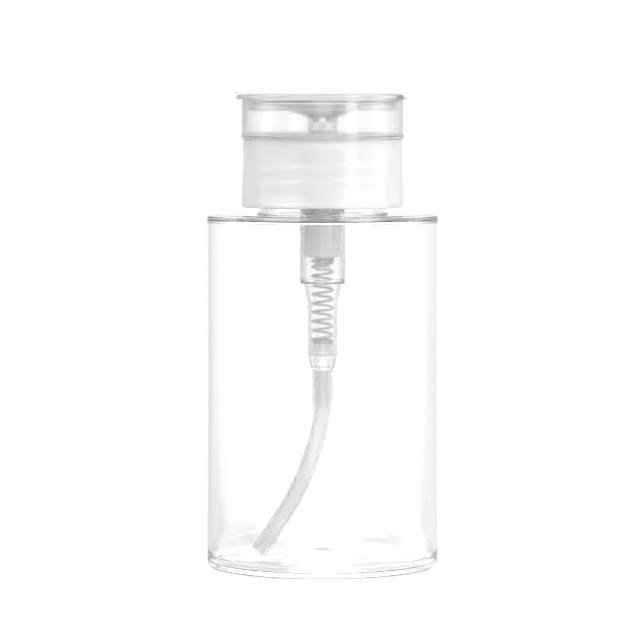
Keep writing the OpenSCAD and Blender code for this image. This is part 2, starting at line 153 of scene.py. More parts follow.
# pump housing and guide cap
SKIRT_R = NECK_BORE_R - 0.1
HUB_WALL = 1.3              # round the guide cap's head
GUIDE_HEAD_T = 1.4
CYL_R = 5.35
CYL_BORE_R = 4.6
CYL_DROP = 33.1             # foot of the cylinder below the flange
TAPER_H = 5.4               # from the cylinder to the spring well
WELL_R = 3.45
WELL_BORE_R = 2.85
WELL_H = 12.2
CHAMBER_H = 2.9             # from the spring well to the tube socket
SOCKET_R = 2.5
INLET_R = 0.9
BALL_ROOM = 0.4             # round the inlet ball
BALL_SEAT_DROP = 0.87       # edge of the seat below the middle of the ball
VENT_R = 0.45
VENT_DROP = 14

# piston, rod and spring
LIP_H = 1.4
WAIST_DEPTH = 0.25
ROD_BORE_R = 0.7
ROD_PIN_R = STEM_BORE_R - 0.9
ROD_SOCKET_H = 4.0
PILOT_GAP = 0.25            # inside the spring
SPRING_R = 2.75
WIRE_R = 0.3
COIL_GAP = 0.08             # between the closed end turns
LOW_TURNS = 1.5
OPEN_TURNS = 8.5
TOP_TURNS = 1.0

# dip tube
TUBE_R = 1.95
TUBE_BORE_R = 1.35
TUBE_REACH = 15.3           # how far its end is from the middle
TUBE_END_Z = 3.45
TUBE_EXIT_A = math.radians(8)
TUBE_EXIT_BEND_R = 4.0
TUBE_END_L = 10.0           # straight end

# places, from the frame
BOTTLE_R = radius("bottle")
NECK_TOP = top("bottle")
SHOULDER = NECK_TOP - NECK_H
THREAD_Z = SHOULDER + THREAD_RISE
FLANGE_SEAT = top("gasket")          # underside of the housing's flange
GUIDE_SEAT = top("guide_cap") - GUIDE_HEAD_T
LEDGE = low("guard_ring")            # where the guard ring sits on the collar
BEAD_Z = LEDGE + BEAD_RISE
FLANGE_R = radius("lid")
RIM = top("lid") - HINGE_R - HINGE_RISE - LID_GAP       # top of the guard ring's rim flange
LID_LOW = RIM + LID_GAP
FLANGE_LOW = RIM - FLANGE_T
HINGE_X = FLANGE_R - HINGE_R + 0.05
HINGE_Z = LID_LOW + HINGE_RISE
CHORD_X = HINGE_X - HINGE_R - 0.15   # where the lid's disc is cut off for the hinge

ROUND_STEPS = 192           # steps round a large turned piece
FINE_STEPS = 96             # steps round a small one
ARC_STEPS = 24              # steps along a curve that follows a formula

# light levels, where 1 is white
WHITE = 1.03                # backdrop, and whatever the camera sees directly
PANELS = (1.5, 2.1)         # left and right
FLAGS = (0.72, 0.82)        # left and right
OVERHEAD = 3.0


# ---------------------------------------------------------------- outlines

def outline(points, steps=5, hold=0.12):
    """(r, z) points in mm, from (r, z) or (r, z, fillet radius); a hold point keeps each flat flat."""
    out = []
    count = len(points)
    for i, point in enumerate(points):
        corner = Vector(point[:2])
        if len(point) < 3 or point[2] <= 0:
            out.append(tuple(corner))
            continue
        back = Vector(points[i - 1][:2]) - corner
        ahead = Vector(points[(i + 1) % count][:2]) - corner
        half = back.angle(ahead) / 2
        reach = min(point[2] / math.tan(half), 0.48 * back.length, 0.48 * ahead.length)
        fillet = reach * math.tan(half)
        back_dir, ahead_dir = back.normalized(), ahead.normalized()
        centre = corner + (back_dir + ahead_dir).normalized() * (fillet / math.sin(half))
        start = corner + back_dir * reach - centre
        turn = start.angle_signed(corner + ahead_dir * reach - centre)
        if back.length > 2 * reach + 2 * hold:
            out.append(tuple(corner + back_dir * (reach + hold)))
        for k in range(steps + 1):
            a = -turn * k / steps
            out.append((centre.x + start.x * math.cos(a) - start.y * math.sin(a),
                        centre.y + start.x * math.sin(a) + start.y * math.cos(a)))
        if ahead.length > 2 * reach + 2 * hold:
            out.append(tuple(corner + ahead_dir * (reach + hold)))
    return out


def rows(r, start, end, step=0.16):
    """Points along a straight wall, close enough to carry a thread."""
    count = max(2, round(abs(end - start) / step))
    return [(r, start + (end - start) * i / count) for i in range(count + 1)]


# ---------------------------------------------------------------- geometry node trees

class Tree:
    """A node tree under construction: named inputs, and short calls that add and link nodes."""

    def __init__(self, name, inputs):
        self.tree = bpy.data.node_groups.new(name, "GeometryNodeTree")
        self.ids = {}
        for label, kind in inputs:
            socket = self.tree.interface.new_socket(label, in_out="INPUT", socket_type=kind)
            self.ids[label] = socket.identifier
        self.tree.interface.new_socket("Geometry", in_out="OUTPUT", socket_type="NodeSocketGeometry")
        self.input = self.tree.nodes.new("NodeGroupInput")
        self.output = self.tree.nodes.new("NodeGroupOutput")

    def given(self, label):
        return self.input.outputs[label]

    def put(self, value, socket):
        if isinstance(value, bpy.types.NodeSocket):
            self.tree.links.new(value, socket)
        else:
            socket.default_value = value

    def add(self, kind, values=None, **settings):
        node = self.tree.nodes.new(kind)
        for key, value in settings.items():
            setattr(node, key, value)
        for key, value in (values or {}).items():
            self.put(value, node.inputs[key])
        return node

    def math(self, operation, a, b=0.0):
        return self.add("ShaderNodeMath", {0: a, 1: b}, operation=operation).outputs[0]

    def finish(self, geometry, material):
        smooth = self.add("GeometryNodeSetShadeSmooth", {"Geometry": geometry})
        real = self.add("GeometryNodeRealizeInstances", {"Geometry": smooth.outputs[0]})
        dressed = self.add("GeometryNodeSetMaterial", {"Geometry": real.outputs[0], "Material": material})
        self.tree.links.new(dressed.outputs[0], self.output.inputs[0])


RIDGE_TOP, RIDGE_FOOT = 0.11, 0.23   # half widths of a thread ridge, in pitches
RIDGE_FADE = 0.12                    # turns over which its ends run out
SAME_PLACE = 1e-6                    # metres
NO_THREAD = (-1000.0, 0.0, 0.0, 1.0) # its wall is at a radius that no outline has


def turned_tree():
    """Turns an outline round Z. On its thread wall a ridge stands out along a helix."""
    t = Tree("turned_wall", [
        ("Outline", "NodeSocketObject"), ("Steps", "NodeSocketInt"),
        ("Thread Wall", "NodeSocketFloat"), ("Thread Height", "NodeSocketFloat"),
        ("Thread Start", "NodeSocketFloat"), ("Thread Pitch", "NodeSocketFloat"),
        ("Thread Turns", "NodeSocketFloat"), ("Material", "NodeSocketMaterial")])
    info = t.add("GeometryNodeObjectInfo", {"Object": t.given("Outline")})
    shape = info.outputs["Geometry"]
    size = t.add("GeometryNodeAttributeDomainSize", {0: shape}, component="MESH")
    count = size.outputs["Point Count"]
    around = t.math("ADD", t.given("Steps"), 1)
    grid = t.add("GeometryNodeMeshGrid", {"Vertices X": around, "Vertices Y": count})
    index = t.add("GeometryNodeInputIndex").outputs[0]
    column = t.math("FLOOR", t.math("DIVIDE", t.math("ADD", index, 0.5), count))
    row = t.math("SUBTRACT", index, t.math("MULTIPLY", column, count))
    point = t.add("GeometryNodeInputPosition").outputs[0]
    sample = t.add("GeometryNodeSampleIndex", data_type="FLOAT_VECTOR")
    t.put(shape, sample.inputs["Geometry"])
    t.put(point, sample.inputs["Value"])
    t.put(row, sample.inputs["Index"])
    parts = t.add("ShaderNodeSeparateXYZ", {0: sample.outputs[0]})
    r, z = parts.outputs["X"], parts.outputs["Z"]
    turn = t.math("DIVIDE", column, t.given("Steps"))
    angle = t.math("MULTIPLY", turn, 2 * math.pi)

    # the ridge: which turn of the helix is nearest, how far off it is, and how near its ends
    pitch = t.given("Thread Pitch")
    climb = t.math("SUBTRACT", t.math("DIVIDE", t.math("SUBTRACT", z, t.given("Thread Start")), pitch), turn)
    nearest = t.math("ROUND", climb)
    off = t.math("ABSOLUTE", t.math("SUBTRACT", climb, nearest))
    slope = t.add("ShaderNodeMapRange", {"Value": off, "From Min": RIDGE_TOP, "From Max": RIDGE_FOOT,
                                         "To Min": 1.0, "To Max": 0.0}, interpolation_type="SMOOTHSTEP")
    along = t.math("ADD", nearest, turn)
    nearer_end = t.math("MINIMUM", along, t.math("SUBTRACT", t.given("Thread Turns"), along))
    fade = t.add("ShaderNodeMapRange", {"Value": nearer_end, "From Min": 0.0, "From Max": RIDGE_FADE},
                 interpolation_type="SMOOTHSTEP")
    off_wall = t.math("ABSOLUTE", t.math("SUBTRACT", r, t.given("Thread Wall")))
    on_wall = t.math("LESS_THAN", off_wall, SAME_PLACE)
    ridge = t.math("MULTIPLY", slope.outputs[0], t.math("MULTIPLY", fade.outputs[0], on_wall))
    reach = t.math("ADD", r, t.math("MULTIPLY", ridge, t.given("Thread Height")))
    place = t.add("ShaderNodeCombineXYZ", {
        "X": t.math("MULTIPLY", reach, t.math("COSINE", angle)),
        "Y": t.math("MULTIPLY", reach, t.math("SINE", angle)), "Z": z})
    moved = t.add("GeometryNodeSetPosition", {"Geometry": grid.outputs[0], "Position": place.outputs[0]})
    joined = t.add("GeometryNodeMergeByDistance", {"Geometry": moved.outputs[0], "Distance": 2 * SAME_PLACE})
    t.finish(joined.outputs[0], t.given("Material"))
    return t


def spring_tree():
    """A round wire wound into a spring with closed end turns."""
    t = Tree("wound_spring", [
        ("Coil Radius", "NodeSocketFloat"), ("Wire Radius", "NodeSocketFloat"), ("Low", "NodeSocketFloat"),
        ("Closed Pitch", "NodeSocketFloat"), ("Open Pitch", "NodeSocketFloat"),
        ("Low Turns", "NodeSocketFloat"), ("Open Turns", "NodeSocketFloat"), ("Top Turns", "NodeSocketFloat"),
        ("Steps Per Turn", "NodeSocketInt"), ("Material", "NodeSocketMaterial")])
    turns = t.math("ADD", t.given("Low Turns"), t.math("ADD", t.given("Open Turns"), t.given("Top Turns")))
    count = t.math("ADD", t.math("MULTIPLY", turns, t.given("Steps Per Turn")), 1)
    line = t.add("GeometryNodeMeshLine", {"Count": count})
    index = t.add("GeometryNodeInputIndex").outputs[0]
    turn = t.math("DIVIDE", index, t.given("Steps Per Turn"))
    angle = t.math("MULTIPLY", turn, 2 * math.pi)
    past_low = t.math("MAXIMUM", t.math("SUBTRACT", turn, t.given("Low Turns")), 0.0)
    in_open = t.math("MINIMUM", past_low, t.given("Open Turns"))
    closed = t.math("SUBTRACT", turn, in_open)
    climb = t.math("ADD", t.math("MULTIPLY", closed, t.given("Closed Pitch")),
                   t.math("MULTIPLY", in_open, t.given("Open Pitch")))
    place = t.add("ShaderNodeCombineXYZ", {
        "X": t.math("MULTIPLY", t.given("Coil Radius"), t.math("COSINE", angle)),
        "Y": t.math("MULTIPLY", t.given("Coil Radius"), t.math("SINE", angle)),
        "Z": t.math("ADD", t.given("Low"), climb)})
    moved = t.add("GeometryNodeSetPosition", {"Geometry": line.outputs[0], "Position": place.outputs[0]})
    path = t.add("GeometryNodeMeshToCurve", {0: moved.outputs[0]})
    section = t.add("GeometryNodeCurvePrimitiveCircle", {"Resolution": 14, "Radius": t.given("Wire Radius")})
    wire = t.add("GeometryNodeCurveToMesh", {0: path.outputs[0], 1: section.outputs[0], "Fill Caps": True})
    t.finish(wire.outputs[0], t.given("Material"))
    return t


TURNED = turned_tree()
SPRING = spring_tree()


def volume(mesh):
    """Signed volume inside a mesh: negative when its faces point inwards."""
    mesh.calc_loop_triangles()
    total = 0.0
    for tri in mesh.loop_triangles:
        a, b, c = (mesh.vertices[i].co for i in tri.vertices)
        total += a.dot(b.cross(c)) / 6
    return total


def link(name, mesh):
    piece = bpy.data.objects.new(name, mesh)
    bpy.context.scene.collection.objects.link(piece)
    return piece


def baked(piece):
    """Turns a piece's modifiers into its plain mesh, with its faces pointing outwards."""
    view = bpy.context.evaluated_depsgraph_get()
    mesh = bpy.data.meshes.new_from_object(piece.evaluated_get(view))
    piece.modifiers.clear()
    piece.data = mesh
    mesh.name = piece.name
    if volume(mesh) < 0:
        mesh.flip_normals()
    return piece


def grown(name, tree, values):
    """An object made by a geometry node tree, its inputs set by their sockets' identifiers."""
    piece = link(name, bpy.data.meshes.new(name))
    modifier = piece.modifiers.new(tree.tree.name, "NODES")
    modifier.node_group = tree.tree
    for label, value in values.items():
        modifier[tree.ids[label]] = value
    return baked(piece)


def turned(name, points, material, steps=FINE_STEPS, closed=True, thread=None):
    """A turned piece from an outline in mm. An open outline starts and ends on the axis.

    A thread is (radius of its wall, height of its ridge, start height, turns)."""
    ring = points + points[:1] if closed else points
    shape = bpy.data.meshes.new(name + "_outline")
    shape.from_pydata([(r * MM, 0, z * MM) for r, z in ring],
                      [(i, i + 1) for i in range(len(ring) - 1)], [])
    guide = link(name + "_outline", shape)
    wall, height, start, turns = thread or NO_THREAD
    piece = grown(name, TURNED, {
        "Outline": guide, "Steps": steps, "Thread Wall": wall * MM, "Thread Height": height * MM,
        "Thread Start": start * MM, "Thread Pitch": THREAD_PITCH * MM, "Thread Turns": turns,
        "Material": material})
    bpy.data.objects.remove(guide)
    bpy.data.meshes.remove(shape)
    return piece


def creased(piece):
    """Keeps edges sharper than 35 degrees crisp and the rest smooth."""
    piece.data.shade_smooth()
    piece.data.set_sharp_from_angle(angle=math.radians(35))
    return piece


def cut(piece, tool, operation="DIFFERENCE"):
    """Boolean of a piece with a tool object, which is used up."""
    modifier = piece.modifiers.new("cut", "BOOLEAN")
    modifier.operation = operation
    modifier.object = tool
    modifier.solver = "EXACT"
    baked(piece)
    bpy.data.objects.remove(tool)
    return piece


def bevelled(piece):
    """Rounds a tool's edges before it is joined to a piece."""
    modifier = piece.modifiers.new("bevel", "BEVEL")
    modifier.width = 0.12 * MM
    modifier.segments = 3
    modifier.limit_method = "ANGLE"
    return baked(piece)


def block(name, low_corner, high_corner):
    """A box between two corners, in mm."""
    mesh = bpy.data.meshes.new(name)
    bm = bmesh.new()
    bmesh.ops.create_cube(bm, size=1)
    for v in bm.verts:
        v.co = Vector([(low_corner[i] if v.co[i] < 0 else high_corner[i]) * MM for i in range(3)])
    bm.to_mesh(mesh)
    bm.free()
    return link(name, mesh)


def bar(name, r, length, x, y, z, along="Y", steps=48):
    """A round bar centred on a point, in mm, along Y or Z."""
    mesh = bpy.data.meshes.new(name)
    bm = bmesh.new()
    bmesh.ops.create_cone(bm, cap_ends=True, segments=steps, radius1=r * MM, radius2=r * MM,
                          depth=length * MM)
    if along == "Y":
        for v in bm.verts:
            v.co = Vector((v.co.x, -v.co.z, v.co.y))
    for v in bm.verts:
        v.co += Vector((x, y, z)) * MM
    bm.to_mesh(mesh)
    bm.free()
    return link(name, mesh)


# ---------------------------------------------------------------- shader groups

def shader_group(name, inputs, outputs):
    """A shader node group with float, colour or vector sockets."""
    tree = bpy.data.node_groups.new(name, "ShaderNodeTree")
    for label, kind, value in inputs:
        socket = tree.interface.new_socket(label, in_out="INPUT", socket_type=kind)
        if value is not None:
            socket.default_value = value
    for label, kind in outputs:
        tree.interface.new_socket(label, in_out="OUTPUT", socket_type=kind)
    return tree, tree.nodes.new("NodeGroupInput"), tree.nodes.new("NodeGroupOutput")


def moulded_group():
    """Moulded plastic: slow waves of wall thickness, fine grain, and a patchy gloss."""
    tree, given, out = shader_group(
        "moulded_surface",
        [("Wave Size", "NodeSocketFloat", 90.0), ("Grain Size", "NodeSocketFloat", 1500.0),
         ("Grain", "NodeSocketFloat", 0.15), ("Gloss Low", "NodeSocketFloat", 0.02),
         ("Gloss High", "NodeSocketFloat", 0.08)],
        [("Height", "NodeSocketFloat"), ("Roughness", "NodeSocketFloat")])
    link_to = tree.links.new
    place = tree.nodes.new("ShaderNodeTexCoord")
    waves = tree.nodes.new("ShaderNodeTexNoise")
    waves.inputs["Detail"].default_value = 1.0
    link_to(place.outputs["Object"], waves.inputs["Vector"])
    link_to(given.outputs["Wave Size"], waves.inputs["Scale"])
    grain = tree.nodes.new("ShaderNodeTexNoise")
    grain.inputs["Detail"].default_value = 2.0
    link_to(place.outputs["Object"], grain.inputs["Vector"])
    link_to(given.outputs["Grain Size"], grain.inputs["Scale"])
    share = tree.nodes.new("ShaderNodeMath")
    share.operation = "MULTIPLY_ADD"
    link_to(grain.outputs["Fac"], share.inputs[0])
    link_to(given.outputs["Grain"], share.inputs[1])
    link_to(waves.outputs["Fac"], share.inputs[2])
    link_to(share.outputs[0], out.inputs["Height"])
    gloss = tree.nodes.new("ShaderNodeMapRange")
    link_to(waves.outputs["Fac"], gloss.inputs["Value"])
    gloss.inputs["From Min"].default_value = 0.1
    gloss.inputs["From Max"].default_value = 0.9
    link_to(given.outputs["Gloss Low"], gloss.inputs["To Min"])
    link_to(given.outputs["Gloss High"], gloss.inputs["To Max"])
    link_to(gloss.outputs[0], out.inputs["Roughness"])
    return tree


def flow_group():
    """Milky plastic: soft flow streaks from the gate that vary the tint a little."""
    tree, given, out = shader_group(
        "flow_streaks",
        [("Thin Tint", "NodeSocketColor", (1, 1, 1, 1)),
         ("Thick Tint", "NodeSocketColor", (0.9, 0.9, 0.9, 1)),
         ("Streak Size", "NodeSocketFloat", 60.0)],
        [("Color", "NodeSocketColor")])
    link_to = tree.links.new
    place = tree.nodes.new("ShaderNodeTexCoord")
    stretch = tree.nodes.new("ShaderNodeMapping")
    stretch.inputs["Scale"].default_value = (1.0, 1.0, 0.25)
    link_to(place.outputs["Object"], stretch.inputs["Vector"])
    cloud = tree.nodes.new("ShaderNodeTexNoise")
    cloud.inputs["Detail"].default_value = 3.0
    cloud.inputs["Distortion"].default_value = 0.6
    link_to(stretch.outputs[0], cloud.inputs["Vector"])
    link_to(given.outputs["Streak Size"], cloud.inputs["Scale"])
    mix = tree.nodes.new("ShaderNodeMix")
    mix.data_type = "RGBA"
    link_to(cloud.outputs["Fac"], mix.inputs[0])
    link_to(given.outputs["Thin Tint"], mix.inputs[6])
    link_to(given.outputs["Thick Tint"], mix.inputs[7])
    link_to(mix.outputs[2], out.inputs["Color"])
    return tree


MOULDED = moulded_group()
FLOW = flow_group()


def grey(value):
    """A grey with the faintest blue in it, as clear resins have."""
    return (value, value, value * 1.004, 1.0)


def plain_material(name):
    """A new material: itself, its nodes, the call that links them, and its shader."""
    material = bpy.data.materials.new(name)
    material.use_nodes = True
    nodes = material.node_tree.nodes
    return material, nodes, material.node_tree.links.new, nodes["Principled BSDF"]


def add_surface(nodes, link_to, shader, bump, distance, gloss, wave=90.0, grain=0.15, grain_size=1500.0):
    """Gives a shader the moulded surface's gloss and bump."""
    surface = nodes.new("ShaderNodeGroup")
    surface.node_tree = MOULDED
    surface.inputs["Wave Size"].default_value = wave
    surface.inputs["Grain Size"].default_value = grain_size
    surface.inputs["Grain"].default_value = grain
    surface.inputs["Gloss Low"].default_value = gloss[0]
    surface.inputs["Gloss High"].default_value = gloss[1]
    relief = nodes.new("ShaderNodeBump")
    relief.inputs["Strength"].default_value = bump
    relief.inputs["Distance"].default_value = distance
    link_to(surface.outputs["Height"], relief.inputs["Height"])
    link_to(relief.outputs[0], shader.inputs["Normal"])
    link_to(surface.outputs["Roughness"], shader.inputs["Roughness"])


def painted_edge_shade(nodes, link_to, shader, face, edge, start=0.35, power=1.0):
    """Painted shade: the colour turns from the face colour to the edge grey towards grazing views, where the
    plastic is seen along its wall. The face may be a colour or a socket.
    """
    facing = nodes.new("ShaderNodeLayerWeight")
    facing.inputs["Blend"].default_value = 0.5
    ramp = nodes.new("ShaderNodeMapRange")
    ramp.inputs["From Min"].default_value = start
    ramp.inputs["From Max"].default_value = 1.0
    link_to(facing.outputs["Facing"], ramp.inputs["Value"])
    curve = nodes.new("ShaderNodeMath")
    curve.operation = "POWER"
    curve.inputs[1].default_value = power
    link_to(ramp.outputs[0], curve.inputs[0])
    mix = nodes.new("ShaderNodeMix")
    mix.data_type = "RGBA"
    if isinstance(face, bpy.types.NodeSocket):
        link_to(face, mix.inputs[6])
    else:
        mix.inputs[6].default_value = face
    mix.inputs[7].default_value = edge
    link_to(curve.outputs[0], mix.inputs[0])
    link_to(mix.outputs[2], shader.inputs["Base Color"])


def clear_plastic(name, ior, face, edge, gloss, bump, start=0.35, power=1.0, wave=90.0):
    """Water-clear moulded plastic, its colour darkened towards grazing views as painted shade."""
    material, nodes, link_to, shader = plain_material(name)
    shader.inputs["IOR"].default_value = ior
    shader.inputs["Transmission Weight"].default_value = 1.0
    add_surface(nodes, link_to, shader, bump, 0.0001, gloss, wave=wave, grain=0.0)
    # painted shade: the colour turns to the edge grey towards grazing views
    painted_edge_shade(nodes, link_to, shader, face, edge, start=start, power=power)
    return material


def frosted_gate(material):
    """The moulding gate's nub under the base is cloudy where the plastic froze last."""
    nodes, link_to = material.node_tree.nodes, material.node_tree.links.new
    shader = nodes["Principled BSDF"]
    place = nodes.new("ShaderNodeTexCoord")
    far = nodes.new("ShaderNodeVectorMath")
    far.operation = "DISTANCE"
    far.inputs[1].default_value = (0, 0, (PUSH_UP - 0.4) * MM)
    link_to(place.outputs["Object"], far.inputs[0])
    mask = nodes.new("ShaderNodeMapRange")
    mask.inputs["From Min"].default_value = (GATE_R - 0.2) * MM
    mask.inputs["From Max"].default_value = (GATE_R + 0.1) * MM
    mask.inputs["To Min"].default_value = 1.0
    mask.inputs["To Max"].default_value = 0.0
    link_to(far.outputs["Value"], mask.inputs["Value"])
    for label, kind, slots, value in (("Base Color", "RGBA", (6, 7, 2), grey(0.42)),
                                      ("Roughness", "FLOAT", (2, 3, 0), 0.5)):
        mix = nodes.new("ShaderNodeMix")
        mix.data_type = kind
        link_to(shader.inputs[label].links[0].from_socket, mix.inputs[slots[0]])
        mix.inputs[slots[1]].default_value = value
        link_to(mask.outputs[0], mix.inputs[0])
        link_to(mix.outputs[slots[2]], shader.inputs[label])


def milky_plastic(name, thin, thick, clearness, gloss, coat=0.0, edge=None):
    """Natural plastic that lets light through but not a clear view. With an edge grey, its colour is darkened
    towards grazing views as painted shade.
    """
    material, nodes, link_to, shader = plain_material(name)
    shader.inputs["IOR"].default_value = 1.49
    shader.inputs["Transmission Weight"].default_value = clearness
    shader.inputs["Coat Weight"].default_value = coat
    shader.inputs["Coat Roughness"].default_value = 0.12
    add_surface(nodes, link_to, shader, 0.05, 0.00002, gloss, wave=40.0, grain=1.0)
    streaks = nodes.new("ShaderNodeGroup")
    streaks.node_tree = FLOW
    streaks.inputs["Thin Tint"].default_value = thin
    streaks.inputs["Thick Tint"].default_value = thick
    streaks.inputs["Streak Size"].default_value = 60.0
    if edge is None:
        link_to(streaks.outputs["Color"], shader.inputs["Base Color"])
    else:
        # painted shade: the streaked colour turns to the edge grey towards grazing views
        painted_edge_shade(nodes, link_to, shader, streaks.outputs["Color"], grey(edge), start=0.4, power=1.3)
    return material


def spring_steel():
    """Drawn stainless wire: bright, with draw marks that break its reflections."""
    material, nodes, link_to, shader = plain_material("spring_steel")
    shader.inputs["Metallic"].default_value = 1.0
    add_surface(nodes, link_to, shader, 0.3, 0.00002, (0.16, 0.32), wave=500.0, grain=0.5, grain_size=6000.0)
    streaks = nodes.new("ShaderNodeGroup")
    streaks.node_tree = FLOW
    streaks.inputs["Thin Tint"].default_value = grey(0.42)
    streaks.inputs["Thick Tint"].default_value = grey(0.24)
    streaks.inputs["Streak Size"].default_value = 900.0
    link_to(streaks.outputs["Color"], shader.inputs["Base Color"])
    return material


# the edge greys below are painted shade, darkening each colour towards grazing views
MATERIALS = {
    "clear_pet": clear_plastic("clear_pet", 1.57, grey(1.0), grey(0.97), gloss=(0.0, 0.01), bump=0.02,
                               power=1.4, wave=60.0),
    "ring_pp": milky_plastic("ring_pp", grey(0.995), grey(0.985), clearness=0.95,
                             gloss=(0.1, 0.18), edge=0.97),
    "lid_pp": milky_plastic("lid_pp", grey(1.0), grey(0.99), clearness=0.7, gloss=(0.25, 0.35)),
    "collar_pp": milky_plastic("collar_pp", grey(0.995), grey(0.98), clearness=0.7,
                               gloss=(0.3, 0.4), coat=0.3),
    "dish_pp": milky_plastic("dish_pp", grey(1.0), grey(0.995), clearness=0.9, gloss=(0.12, 0.2)),
    "pump_pp": milky_plastic("pump_pp", grey(1.0), grey(0.99), clearness=0.93, gloss=(0.1, 0.18), edge=0.96),
    "piston_pe": milky_plastic("piston_pe", grey(0.995), grey(0.99), clearness=0.0, gloss=(0.35, 0.5)),
    "tube_pe": milky_plastic("tube_pe", grey(0.97), grey(0.94), clearness=0.85,
                             gloss=(0.14, 0.22), edge=0.92),
    "gasket_foam": milky_plastic("gasket_foam", grey(0.95), grey(0.9), clearness=0.0, gloss=(0.7, 0.9)),
    "spring_steel": spring_steel(),
    "ball_glass": clear_plastic("ball_glass", 1.5, grey(1.0), grey(0.95), gloss=(0.0, 0.01), bump=0.0),
}
frosted_gate(MATERIALS["clear_pet"])


# ---------------------------------------------------------------- pieces

def standing_for(piece, node, body):
    """Rides a piece on its body in place of its CAD node."""
    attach(piece, body)
    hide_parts(node)


def make_bottle():
    """Blow-moulded body: pushed-up base with its gate, thick heel, flat shoulder and threaded neck."""
    push_r = BOTTLE_R - HEEL_R - CONTACT_W

    def push_up(r, lift):
        return (r, lift + PUSH_UP * (0.5 + 0.5 * math.cos(math.pi * r / push_r)))

    thread_low, thread_high = SHOULDER + 3.2, NECK_TOP - 0.6
    radii = [GATE_R + (push_r - GATE_R) * i / ARC_STEPS for i in range(ARC_STEPS + 1)]
    points = outline([(0, PUSH_UP - GATE_H), (GATE_R - 0.3, PUSH_UP - GATE_H, 0.2),
                      (GATE_R - 0.1, PUSH_UP - 0.15)])
    points += [push_up(r, 0) for r in radii]
    points += outline([
        (BOTTLE_R - HEEL_R - 0.3, 0), (BOTTLE_R, 0, HEEL_R), (BOTTLE_R, SHOULDER - CROWN_DROP, 0.7),
        (BOTTLE_R - CROWN_W, SHOULDER, 1.0), (NECK_FOOT_R, SHOULDER, 0.4),
        (NECK_FOOT_R, SHOULDER + 2.4, 0.25), (NECK_R, SHOULDER + 2.7)], steps=8)[:-1]
    points += rows(NECK_R, thread_low, thread_high)
    inner_r = BOTTLE_R - WALL
    ceiling = SHOULDER - CROWN_DROP - SHOULDER_T
    points += outline([
        (NECK_R, thread_high), (NECK_R, NECK_TOP, 0.3), (NECK_BORE_R, NECK_TOP, 0.2),
        (NECK_BORE_R, ceiling, 0.8), (inner_r, ceiling, 0.8), (inner_r, BASE_T, 3.0),
        (push_r + 0.5, BASE_T)], steps=8)[1:-1]
    points += [push_up(push_r * i / ARC_STEPS, BASE_T) for i in reversed(range(ARC_STEPS + 1))]
    return turned("bottle_shell", points, MATERIALS["clear_pet"], ROUND_STEPS, closed=False,
                  thread=(NECK_R, THREAD_H, THREAD_Z, THREAD_TURNS))


def make_collar():
    """Smooth tapered skirt, thread inside, deck with its opening, and the spigot for the ring."""
    low_z = low("collar")
    top_z = top("collar")
    deck_low = LEDGE + 0.05
    deck_top = deck_low + DECK_T
    bore = COLLAR_BORE_R
    spigot_r = RING_BORE_R - SPIGOT_GAP
    rows_low, rows_high = low_z + 1.0, deck_low - 0.6
    points = outline([
        (bore + 0.35, low_z, 0.12), (RING_R, low_z, 0.45), (RING_R - 0.35, LEDGE, 0.2),
        (spigot_r, LEDGE, 0.05), (spigot_r, BEAD_Z - 0.15, 0.05), (spigot_r + 0.13, BEAD_Z, 0.05),
        (spigot_r, BEAD_Z + 0.15, 0.05), (spigot_r, top_z, 0.25), (bore, top_z, 0.2),
        (bore, deck_top, 0.25), (DECK_OPENING_R, deck_top, 0.15), (DECK_OPENING_R, deck_low, 0.1),
        (bore, deck_low, 0.5), (bore, rows_high)])[:-1]
    points += rows(bore, rows_high, rows_low)
    points.append((bore, low_z + 0.4))
    return turned("collar_skirt", points, MATERIALS["collar_pp"], ROUND_STEPS,
                  thread=(bore, -COLLAR_THREAD_H, THREAD_Z - THREAD_PITCH / 2, COLLAR_THREAD_TURNS))


def make_guard_ring():
    """Clear ring with a bead at its foot, a rim flange, two hinge ears and a finger notch."""
    bore, foot_r = RING_BORE_R, RING_R + FOOT_SWELL
    ring = turned("guard_ring_wall", outline([
        (bore, LEDGE, 0.1), (foot_r, LEDGE, 0.3), (foot_r, LEDGE + 1.3, 0.15),
        (RING_R, LEDGE + 1.4, 0.1), (RING_R, FLANGE_LOW, 0.35), (FLANGE_R, FLANGE_LOW, 0.3),
        (FLANGE_R, RIM, 0.3), (bore, RIM, 0.15),
        (bore, BEAD_Z + 0.17, 0.04), (bore + 0.14, BEAD_Z, 0.04), (bore, BEAD_Z - 0.17, 0.04)]),
        MATERIALS["ring_pp"], ROUND_STEPS)
    pocket = BARREL_W / 2 + EAR_GAP
    cut(ring, block("pocket", (CHORD_X, -pocket, FLANGE_LOW - 0.02), (FLANGE_R + 1, pocket, RIM + 1)))
    cut(ring, bar("notch", NOTCH_R, 2.0, -FLANGE_R - NOTCH_R + NOTCH_DEPTH, 0, RIM + 0.5, "Z", 96))
    for side in (-1, 1):
        y = side * (BARREL_W / 2 + EAR_GAP + EAR_W / 2)
        ear = block("ear", (HINGE_X - HINGE_R, y - EAR_W / 2, FLANGE_LOW + 0.3),
                    (HINGE_X + HINGE_R, y + EAR_W / 2, HINGE_Z))
        cut(ear, bar("ear_round", HINGE_R, EAR_W, HINGE_X, y, HINGE_Z), "UNION")
        cut(ring, ear, "UNION")
        cut(ring, bar("ear_bore", TRUNNION_R + TRUNNION_GAP, EAR_W + 0.4, HINGE_X, y, HINGE_Z))
    return creased(ring)


